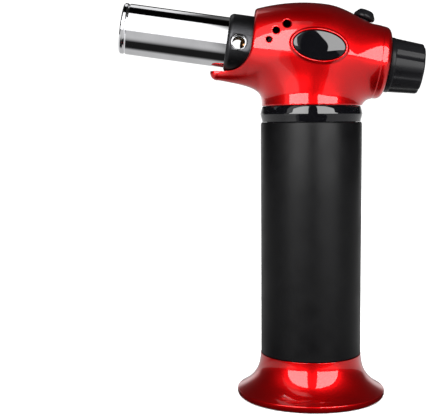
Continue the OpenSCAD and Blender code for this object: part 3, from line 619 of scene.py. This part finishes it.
def moulded(name, color, low, high, grain=2200, depth=0.01, **sockets):
    """Moulded plastic or rubber with a fine grain and slightly uneven gloss."""
    m = Shader(name, color, (low + high) / 2, **sockets)
    m.tint(m.noise(180), [c * 0.86 for c in color], [c * 1.16 for c in color])
    m.gloss(m.noise(90), low, high)
    m.relief(m.noise(grain, 2.0), depth)
    MATERIALS[name] = m.material


def metal(name, color, low, high, stretch=(1, 1, 1), scale=900, depth=0.002, turn=(0, 0, 0)):
    """Worked metal with fine marks that run along one direction."""
    m = Shader(name, color, (low + high) / 2, 1.0)
    m.tint(m.noise(120), [c * 0.93 for c in color], [min(1, c * 1.05) for c in color])
    m.gloss(m.noise(scale, 3.0, stretch, turn), low, high)
    m.relief(m.noise(scale, 2.0, stretch, turn), depth)
    MATERIALS[name] = m.material


red_lacquer()
moulded("black_plastic", (0.018, 0.018, 0.02), 0.34, 0.48)
moulded("gloss_black", (0.001, 0.001, 0.0014), 0.02, 0.04, 500, 0.0006)
moulded("knob_plastic", (0.003, 0.003, 0.0035), 0.24, 0.32, 2600, 0.005, Specular_IOR_Level=0.12)
metal("collar_black", (0.03, 0.03, 0.032), 0.28, 0.42, (1, 12, 12), 500, 0.004, BARREL_LEAN)
moulded("seal_rubber", (0.016, 0.016, 0.016), 0.6, 0.75)
moulded("hose_rubber", (0.03, 0.028, 0.026), 0.5, 0.65)
moulded("grip_rubber", (0.001, 0.001, 0.0012), 0.34, 0.44, 3000, 0.016, Specular_IOR_Level=0.12)
metal("chrome", (0.86, 0.86, 0.88), 0.035, 0.075, (1, 8, 8), 420, 0.0004, BARREL_LEAN)
metal("brass", (0.72, 0.52, 0.24), 0.22, 0.34)
metal("jet_brass", (0.5, 0.27, 0.12), 0.25, 0.4)
metal("burner_steel", (0.42, 0.39, 0.36), 0.3, 0.5)
metal("steel", (0.62, 0.62, 0.64), 0.2, 0.34)
moulded("tank_nylon", (0.62, 0.6, 0.54), 0.35, 0.5)
moulded("ceramic", (0.78, 0.76, 0.7), 0.3, 0.45)
moulded("wire_insulation", (0.35, 0.02, 0.02), 0.35, 0.5)

# ---------- the CAD nodes that stay as they are ----------

slot_of = {part["node"]: part["material_slot"] for part in frame["record"]["subparts"]}
body_of = {n: body for body, nodes in frame["record"]["behaviour"]["bodies"].items() for n in nodes}


def finish_in(piece, slot):
    """The piece wears the look of one slot alone."""
    piece.data.materials.clear()
    piece.data.materials.append(MATERIALS[slot])


for node, thing in frame["nodes"].items():
    finish_in(thing, slot_of[node])


def stands_for(piece, *nodes):
    """The piece takes the place, finish and motion of one or more CAD nodes."""
    finish_in(piece, slot_of[nodes[0]])
    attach(piece, body_of[nodes[0]])
    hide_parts(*nodes)


# ---------- the head ----------

stands_for(head_half("head_near_moulding", -1), "head_shell_near")
stands_for(head_half("head_far_moulding", 1), "head_shell_far")


def badge_dome():
    """A glossy dome over the oval, with a short upright edge."""
    turns, edge_y, crown, flatness = 160, BADGE_FACE + 0.55, 1.2, 3
    foot_y = BADGE_FLOOR - 0.05
    turn = math.radians(BADGE_TILT)
    # each ring as its share of the oval and its lift
    edge = [(1.0, 0.0), (1.0, 0.15), (0.995, 0.33), (0.985, 0.45), (0.965, 0.53)]
    top_share, top_lift = edge[-1]
    dome = [
        (share, top_lift + (crown - top_lift) * (1 - (share / top_share) ** flatness))
        for share in np.linspace(0.94, 0.06, 18)
    ]
    rings = [*edge, *dome]
    points, faces = [], []
    for k, (share, lift) in enumerate(rings):
        for a in np.linspace(0, 2 * math.pi, turns, endpoint=False):
            u, v = BADGE_W * share * math.cos(a), BADGE_H * share * math.sin(a)
            x = BADGE_X + u * math.cos(turn) + v * math.sin(turn)
            z = BADGE_Z - u * math.sin(turn) + v * math.cos(turn)
            points.append((x, edge_y - lift if k else foot_y, z))
    for k in range(len(rings) - 1):
        faces += ring_quads(k * turns, (k + 1) * turns, turns)
    last, middle = (len(rings) - 1) * turns, len(points)
    points.append((BADGE_X, edge_y - crown, BADGE_Z))
    faces += [[middle, last + i, last + (i + 1) % turns] for i in range(turns)]
    faces.append(list(range(turns))[::-1])
    return new_piece("badge_dome", points, faces)


stands_for(badge_dome(), "badge")

# ---------- the foot, the grip and the ring at the neck ----------


def flare_r(z):
    """Outside radius of the foot at a height."""
    return GRIP_R + 0.1 + FLARE_OUT * ((FLARE_TOP - z) / (FLARE_TOP - FLARE_LOW)) ** FLARE_POWER


foot_outside = [(flare_r(z), z) for z in np.linspace(FLARE_LOW, GRIP_LOW, 60)]
foot_inside = [(min(SHELF_R, flare_r(z) - FOOT_WALL), z) for z in np.linspace(DECK_LOW, 5, 24)]
foot_profile = [
    (29.3, 0.4), (31.6, 0.4), (32.2, 0.9), (32.5, 1.6), (32.55, 2.7),
    *foot_outside,
    (DECK_HOLE_R, GRIP_LOW), (DECK_HOLE_R, DECK_LOW),
    *foot_inside,
    (SHELF_R, FLARE_LOW), (29.3, FLARE_LOW),
]
post_profile = [(1.25, FLARE_LOW), (2.2, FLARE_LOW), (2.2, DECK_LOW + 0.1), (1.25, DECK_LOW + 0.1)]
foot = lathe("foot_flare", foot_profile, 0.35, 192)
posts = []
for angle in (90, 210, 330):
    spot = Matrix.Rotation(math.radians(angle), 4, "Z") @ Matrix.Translation((POST_RING, 0, 0))
    posts.append(lathe("post", post_profile, 0.1, 40, spot, 2))
stands_for(joined(foot, *posts), "base")

grip_profile = [
    (19.8, GRIP_LOW + 0.05), (21.7, GRIP_LOW + 0.05), (GRIP_R, GRIP_LOW + 0.4), (GRIP_R, 60), (GRIP_R, 90),
    (GRIP_R, GRIP_TOP - 1), (21.8, GRIP_TOP - 0.3), (21.4, GRIP_TOP), (19.8, GRIP_TOP),
]
stands_for(lathe("grip", grip_profile, 0.2, 160), "grip_sleeve")

ring_profile = [
    (RING_IN_R, RING_LOW), (21.4, RING_LOW), (21.6, 122.4), (21.95, 123.7), (22.15, 124.5), (22.2, 124.9),
    (22.1, 125.3), (21.75, 126.8), (21.45, 127.8), (21.2, RING_TOP), (RING_IN_R, RING_TOP),
    (RING_IN_R, 126.4), (RING_GROOVE_R, 126.4), (RING_GROOVE_R, 124.1), (RING_IN_R, 124.1),
]
stands_for(lathe("neck_band", ring_profile, 0.25, 160), "neck_ring")

# ---------- the nozzle ----------


def air_hole_cutters(radius, chamfer_r=None):
    """Cutters for a hole right across the nozzle, with a chamfer at both ends if asked."""
    sides, reach = 64, 20
    across = BARREL @ Matrix.Translation((0, 0, HOLE_S)) @ Matrix.Rotation(math.pi / 2, 4, "X")
    rod = [(0, -reach), (radius, -reach), (radius, reach), (0, reach)]
    cutters = [lathe("cutter", rod, 0, sides, across, 1)]
    if chamfer_r:
        low = COLLAR_R - 0.75
        cone = [(0, low), (radius, low), (chamfer_r, low + 1), (chamfer_r, low + 3), (0, low + 3)]
        for way in (0, math.pi):
            cutters.append(lathe("cutter", cone, 0, sides, across @ Matrix.Rotation(way, 4, "X"), 1))
    return cutters


seat_r = TUBE_R + 0.05
collar_profile = [
    (10, 16.5), (13, 16.5), (13, 19.3), (11.6, 19.3), (11.6, 21.7), (COLLAR_R, 21.7), (COLLAR_R, 26),
    (COLLAR_R, 35.3), (12.55, 36.05), (12.1, 36.75), (11.5, 37.2), (TUBE_R + 0.35, COLLAR_FRONT),
    (seat_r, 37), (seat_r, 24), (10, 24),
]
collar = lathe("collar", collar_profile, 0.15, 160, BARREL, 3)
stands_for(carved(collar, air_hole_cutters(HOLE_R, HOLE_R + 1)), "nozzle_collar")

# the groove at 80.7 sets off the rim of the mouth
inner_r = TUBE_R - TUBE_WALL
tube_profile = [
    (inner_r, 24.1), (TUBE_R, 24.1), (TUBE_R, 36), (TUBE_R, 37.6), (TUBE_R, 60), (TUBE_R, 80.1),
    (10.45, 80.7), (TUBE_R, 81.3), (TUBE_R, 82.4), (10.35, TUBE_END), (10.15, TUBE_END - 0.1),
    (inner_r, 82.4), (inner_r, 60), (inner_r, 37.6), (inner_r, 36),
]
tube = lathe("tube", tube_profile, 0.15, 192, BARREL, 3)
stands_for(carved(tube, air_hole_cutters(TUBE_HOLE_R)), "flame_tube")

# ---------- the knob ----------


def knob_body():
    """The lobed knob, turned from a profile whose radius the grooves pull in."""
    turns, groove_r, groove_deep, groove_start = 384, 3.1, 0.75, 2.6
    skirt_z, rim_z, top_z = 2, 13.8, 15.95
    skirt_r = KNOB_R + 0.1

    def wall_r(z):
        return KNOB_SIDE_R - (z - skirt_z) * KNOB_TAPER

    def grooved(radius, z):
        """The radius all round, with a groove between each two lobes that fades out over the top."""
        plain_r = wall_r(min(z, rim_z))
        centre = plain_r + 0.1 + groove_r - groove_deep
        reach = groove_r**2 - max(groove_start - z, 0) ** 2 - (centre * np.sin(off)) ** 2
        cut = np.where(reach > 0, centre * np.cos(off) - np.sqrt(np.maximum(reach, 0)), plain_r + 5)
        share = soft_min(np.full(turns, plain_r), cut, 0.5) / plain_r
        weight = (radius / plain_r) ** 6 if z > rim_z else 1.0
        return radius * (1 - (1 - share) * weight)

    inner = [
        (0, 10), (1.75, 10), (1.75, skirt_z), (7.4, skirt_z), (7.4, -4.5), (10.3, -4.5), (10.3, -2.95),
        (8.8, -2.95), (8.8, 0), (KNOB_SIDE_R, 0), (KNOB_R + 0.06, 0.12), (skirt_r, 0.3), (skirt_r, 1.6),
        (KNOB_R + 0.06, 1.85), (KNOB_R - 0.08, skirt_z),
    ]
    wall = [(wall_r(z), z) for z in np.linspace(2.25, rim_z, 44)]
    rim = [
        (wall_r(rim_z) - 0.9 * (1 - math.cos(a)), rim_z + 1.05 * math.sin(a))
        for a in np.linspace(0.12, 1.4, 10)
    ]
    dome = [(rim[-1][0] * f, top_z - 1.12 * f**2.2) for f in np.linspace(0.96, 0.05, 18)]
    profile = [*inner, *wall, *rim, *dome]
    angles = np.linspace(0, 2 * math.pi, turns, endpoint=False)
    pitch = 2 * math.pi / KNOB_LOBES
    off = np.abs((angles / pitch) % 1 - 0.5) * pitch
    points, faces = [], []
    for k, (radius, z) in enumerate(profile):
        radii = np.full(turns, float(radius)) if k < len(inner) else grooved(radius, z)
        points.extend(zip(radii * np.cos(angles), radii * np.sin(angles), [z] * turns))
    # the first ring is a point, so its quads are triangles
    faces += [[a, c, d] for a, b, c, d in ring_quads(0, turns, turns)]
    for k in range(1, len(profile) - 1):
        faces += ring_quads(k * turns, (k + 1) * turns, turns)
    last, top = (len(profile) - 1) * turns, len(points)
    points.append((0, 0, top_z))
    faces += [[last + i, last + (i + 1) % turns, top] for i in range(turns)]
    piece = new_piece("knob", points, faces, KNOB)
    piece.data.set_sharp_from_angle(angle=math.radians(50))
    return piece


def stop_tab():
    """The tab on the knob's flange that meets the lug in the head."""
    out_r, in_r = 11.45, 9.5
    arc = [math.radians(a) for a in np.linspace(113, 129, 9)]
    outline = [(out_r * math.cos(a), out_r * math.sin(a)) for a in arc]
    outline += [(in_r * math.cos(a), in_r * math.sin(a)) for a in arc[::-1]]
    return prism("tab", outline, -4.5, -2.95, KNOB)


stands_for(joined(knob_body(), stop_tab()), "gas_knob")

# ---------- the button ----------

cap_profile = [
    (0, PADDLE_LOW), (3.2, PADDLE_LOW), (3.2, -1.2), (3.4, -0.95), (4.2, -0.75), (4.6, -0.35),
    (BUTTON_R, 0.1), (4.65, 0.55), (4.35, 1.1), (3.15, 2.75), (2.6, 3.0), (1.3, 3.07), (0, 3.1),
]
heel_profile = [(0, PADDLE_LOW), (2.4, PADDLE_LOW), (1.6, PADDLE_TOP), (0, PADDLE_TOP)]
paddle_outline = [(-2.4, 0), (2.4, 0), (2.4, 6.2), (-2.4, 6.2)]
cap = lathe("button", cap_profile, 0.45, 96, BUTTON, 5)
paddle = prism("paddle", paddle_outline, PADDLE_LOW, PADDLE_TOP, BUTTON)
heel = lathe("heel", heel_profile, 0.1, 48, BUTTON @ Matrix.Translation((0, 6.8, 0)), 2)
stands_for(joined(cap, paddle, heel), "ignition_button")

# ---------- the stage, the lights and the camera ----------
# sizes and places from here on are in metres, apart from the cards beside the tube

FLOOR_SIZE, TABLE_SIZE, TABLE_LIFT = 12, 4, 0.0002
WORLD_STRENGTH = 1.15
# the two softboxes, ahead of the object
KEYS = (("key_left", -2.0, -0.22), ("key_right", 0.16, 1.75))
KEY_RADIANCE = 9.0
BOX_Y = -1.0
BOX_LOW, BOX_HIGH = 0.09, 1.55
# the room and the floor as the shiny pieces see them
ROOM_R = 1.8
ROOM_FRONT_GLOW, ROOM_DARK_GLOW, ROOM_BACK_GLOW = 0.04, 0.02, 1.0
OVERHEAD_SHARE = 0.03
TABLE_SIDE_GLOW, TABLE_BACK_GLOW = 0.7, 0.5
# the floor's dark front is painted shadow of the torch, seen only in reflections
TABLE_FRONT_PAINTED_SHADOW, TABLE_NEAR_PAINTED_SHADOW = 0.05, 0.012


def linked(thing, place, axis, facing):
    """The object in the scene at a place, with one of its axes turned away from a point."""
    bpy.context.scene.collection.objects.link(thing)
    thing.location = place
    thing.rotation_mode = "QUATERNION"
    thing.rotation_quaternion = (Vector(place) - Vector(facing)).to_track_quat(axis, "Y")
    return thing


def plane(name, centre, size):
    """A flat square card that lies level."""
    half = size / 2
    mesh = bpy.data.meshes.new(name)
    corners = [(-half, -half, 0), (half, -half, 0), (half, half, 0), (-half, half, 0)]
    mesh.from_pydata(corners, [], [[0, 1, 2, 3]])
    card = linked(bpy.data.objects.new(name, mesh), centre, "-Z", (0, 0, 1))
    return card


def softbox(name, left, right):
    """An even box of light ahead of the object, which faces back."""
    width, height = right - left, BOX_HIGH - BOX_LOW
    middle = ((left + right) / 2, BOX_Y, (BOX_LOW + BOX_HIGH) / 2)
    light = bpy.data.lights.new(name, "AREA")
    light.shape = "RECTANGLE"
    light.size, light.size_y = width, height
    light.energy = KEY_RADIANCE * math.pi * width * height
    box = linked(bpy.data.objects.new(name, light), middle, "Z", (middle[0], 0, middle[2]))
    box.visible_camera = False


def glow(name, build):
    """An emission material whose strength is a rule of the place on the card."""
    m = bpy.data.materials.new(name)
    m.use_nodes = True
    tree = m.node_tree
    tree.nodes.clear()
    out = tree.nodes.new("ShaderNodeOutputMaterial")
    emit = tree.nodes.new("ShaderNodeEmission")
    place = tree.nodes.new("ShaderNodeTexCoord")
    split = tree.nodes.new("ShaderNodeSeparateXYZ")
    tree.links.new(place.outputs["Object"], split.inputs[0])
    tree.links.new(build(tree, split.outputs), emit.inputs["Strength"])
    tree.links.new(emit.outputs[0], out.inputs["Surface"])
    return m, emit, out


def ramp(tree, source, start, end, low, high):
    """A smooth step from low to high as the source runs from start to end."""
    n = tree.nodes.new("ShaderNodeMapRange")
    n.interpolation_type = "SMOOTHSTEP"
    for socket, value in (("From Min", start), ("From Max", end), ("To Min", low), ("To Max", high)):
        n.inputs[socket].default_value = value
    tree.links.new(source, n.inputs["Value"])
    return n.outputs["Result"]


def combined(tree, operation, a, b):
    """Two values added, multiplied or compared."""
    n = tree.nodes.new("ShaderNodeMath")
    n.operation = operation
    tree.links.new(a, n.inputs[0])
    tree.links.new(b, n.inputs[1])
    return n.outputs[0]


def along(tree, xyz, share_x, share_y):
    """A weighted sum of the place's X and Y."""
    parts = []
    for axis, share in (("X", share_x), ("Y", share_y)):
        n = tree.nodes.new("ShaderNodeMath")
        n.operation = "MULTIPLY"
        n.inputs[1].default_value = share
        tree.links.new(xyz[axis], n.inputs[0])
        parts.append(n.outputs[0])
    return combined(tree, "ADD", *parts)


def room_glow(tree, xyz):
    """Faint light ahead, nearly black overhead and at the sides, and white low down behind the object."""
    ahead = ramp(tree, xyz["Y"], -1.3, 0.1, ROOM_FRONT_GLOW, ROOM_DARK_GLOW)
    overhead = ramp(tree, xyz["Z"], 1.66, 1.76, 1.0, OVERHEAD_SHARE)
    behind = ramp(tree, xyz["Y"], 1.2, 1.6, 0.0, ROOM_BACK_GLOW)
    low_down = ramp(tree, xyz["Z"], 0.15, 0.5, 1.0, 0.0)
    front, back = combined(tree, "MULTIPLY", ahead, overhead), combined(tree, "MULTIPLY", behind, low_down)
    return combined(tree, "ADD", front, back)


def table_glow(tree, xyz):
    """The floor as the shiny pieces see it: bright to both sides and behind, dark in front and beside and
    under the tube, which is painted shadow of the torch on the floor.
    """
    right = ramp(tree, along(tree, xyz, 1.0, 0.25), 0.075, 0.085, 0.0, TABLE_SIDE_GLOW)
    left = ramp(tree, along(tree, xyz, -1.0, 0.6), 0.05, 0.06, 0.0, TABLE_SIDE_GLOW)
    # the left side stays dark near and under the tube: painted shadow of the tube on the floor
    clear_of_painted_tube_shadow = ramp(tree, along(tree, xyz, -1.0, 0.0), 0.12, 0.15, 0.0, 1.0)
    # dark ahead of the object, darkest close to it: painted shadow of the torch on the floor
    front = ramp(tree, xyz["Y"], -0.15, -0.09, TABLE_FRONT_PAINTED_SHADOW, TABLE_NEAR_PAINTED_SHADOW)
    back = ramp(tree, xyz["Y"], 0.0, 0.06, 0.0, TABLE_BACK_GLOW)
    sides = combined(tree, "MAXIMUM", right, combined(tree, "MULTIPLY", left, clear_of_painted_tube_shadow))
    return combined(tree, "ADD", front, combined(tree, "MAXIMUM", sides, back))


def only_in_reflections(thing):
    """Only glossy pieces see it, and it casts no light or shade."""
    thing.visible_camera = False
    thing.visible_diffuse = False
    thing.visible_shadow = False
    thing.visible_transmission = False


def room_shell():
    """A wide round wall that the shiny pieces reflect."""
    steps, rings = 64, 32
    points, faces = [], []
    for k in range(rings + 1):
        lean = math.pi * k / rings
        for i in range(steps):
            turn = 2 * math.pi * i / steps
            flat = math.sin(lean)
            points.append((flat * math.cos(turn), flat * math.sin(turn), math.cos(lean)))
    for k in range(rings):
        faces += ring_quads(k * steps, (k + 1) * steps, steps)
    room = new_piece("room", np.array(points) * ROOM_R / MM, faces)
    return room


def tube_card(name, y, above, ahead, strength, near_share=0.3, fade_in=(-1.0, -0.9)):
    """A card along the tube that adds its light to whatever is behind it.

    y, above (low and high) and ahead (near and far) are in the barrel's frame, in millimetres.
    The light falls to near_share at the near end and fades in between two heights, in metres.
    """
    near_fade = 18
    (low, high), (near, far) = above, ahead
    corners = [(low, y, near), (high, y, near), (high, y, far), (low, y, far)]
    card = new_piece(name, corners, [[0, 1, 2, 3]], BARREL)
    only_in_reflections(card)

    def build(tree, xyz):
        rise = ramp(tree, xyz["Z"], *fade_in, 0.0, 1.0)
        run = ramp(tree, xyz["X"], -MM * (near + near_fade), -MM * near, strength, near_share * strength)
        return combined(tree, "MULTIPLY", rise, run)

    m, emit, out = glow(name + "_glow", build)
    clear = m.node_tree.nodes.new("ShaderNodeBsdfTransparent")
    both = m.node_tree.nodes.new("ShaderNodeAddShader")
    m.node_tree.links.new(emit.outputs[0], both.inputs[0])
    m.node_tree.links.new(clear.outputs[0], both.inputs[1])
    m.node_tree.links.new(both.outputs[0], out.inputs["Surface"])
    card.data.materials.append(m)


floor = plane("floor", (0, 0, cad_low.z), FLOOR_SIZE)
pale = Shader("floor_paint", (0.9, 0.9, 0.9), 1.0, Specular_IOR_Level=0.0)
pale.tint(pale.noise(3), (0.88, 0.88, 0.88), (0.92, 0.92, 0.92))
floor.data.materials.append(pale.material)
for name, left, right in KEYS:
    softbox(name, left, right)
room = room_shell()
room.data.materials.append(glow("room_glow", room_glow)[0])
only_in_reflections(room)
# this sheet paints the floor's reflection, with painted shadow ahead of the torch and under the tube
table = plane("table_sheen", (0, 0, cad_low.z + TABLE_LIFT), TABLE_SIZE)
table.data.materials.append(glow("table_glow", table_glow)[0])
only_in_reflections(table)
tube_card("tube_front", -70, (-12, 200), (14, 125), 1.3)
tube_card("tube_low", -72, (-118, -12), (34, 150), 0.5, fade_in=(0.04, 0.115))
tube_card("tube_back", 62, (62, 155), (34, 125), 0.85, near_share=0.12)

world = bpy.data.worlds.new("studio")
world.use_nodes = True
background = world.node_tree.nodes["Background"]
background.inputs["Color"].default_value = (1, 1, 1, 1)
background.inputs["Strength"].default_value = WORLD_STRENGTH
bpy.context.scene.world = world
bpy.context.scene.view_settings.view_transform = "Standard"

LENS, SENSOR = 82.33, 36
CAMERA_AT = (-0.042753, -0.430, 0.12218)
CAMERA_PITCH = 5.192
CAMERA_ROLL = -0.35
camera_data = bpy.data.cameras.new("camera")
camera_data.lens = LENS
camera_data.sensor_width = SENSOR
camera = bpy.data.objects.new("camera", camera_data)
bpy.context.scene.collection.objects.link(camera)
camera.matrix_world = (
    Matrix.Translation(CAMERA_AT)
    @ Matrix.Rotation(math.radians(90 - CAMERA_PITCH), 4, "X")
    @ Matrix.Rotation(math.radians(CAMERA_ROLL), 4, "Z")
)
bpy.context.scene.camera = camera

bpy.context.view_layer.update()
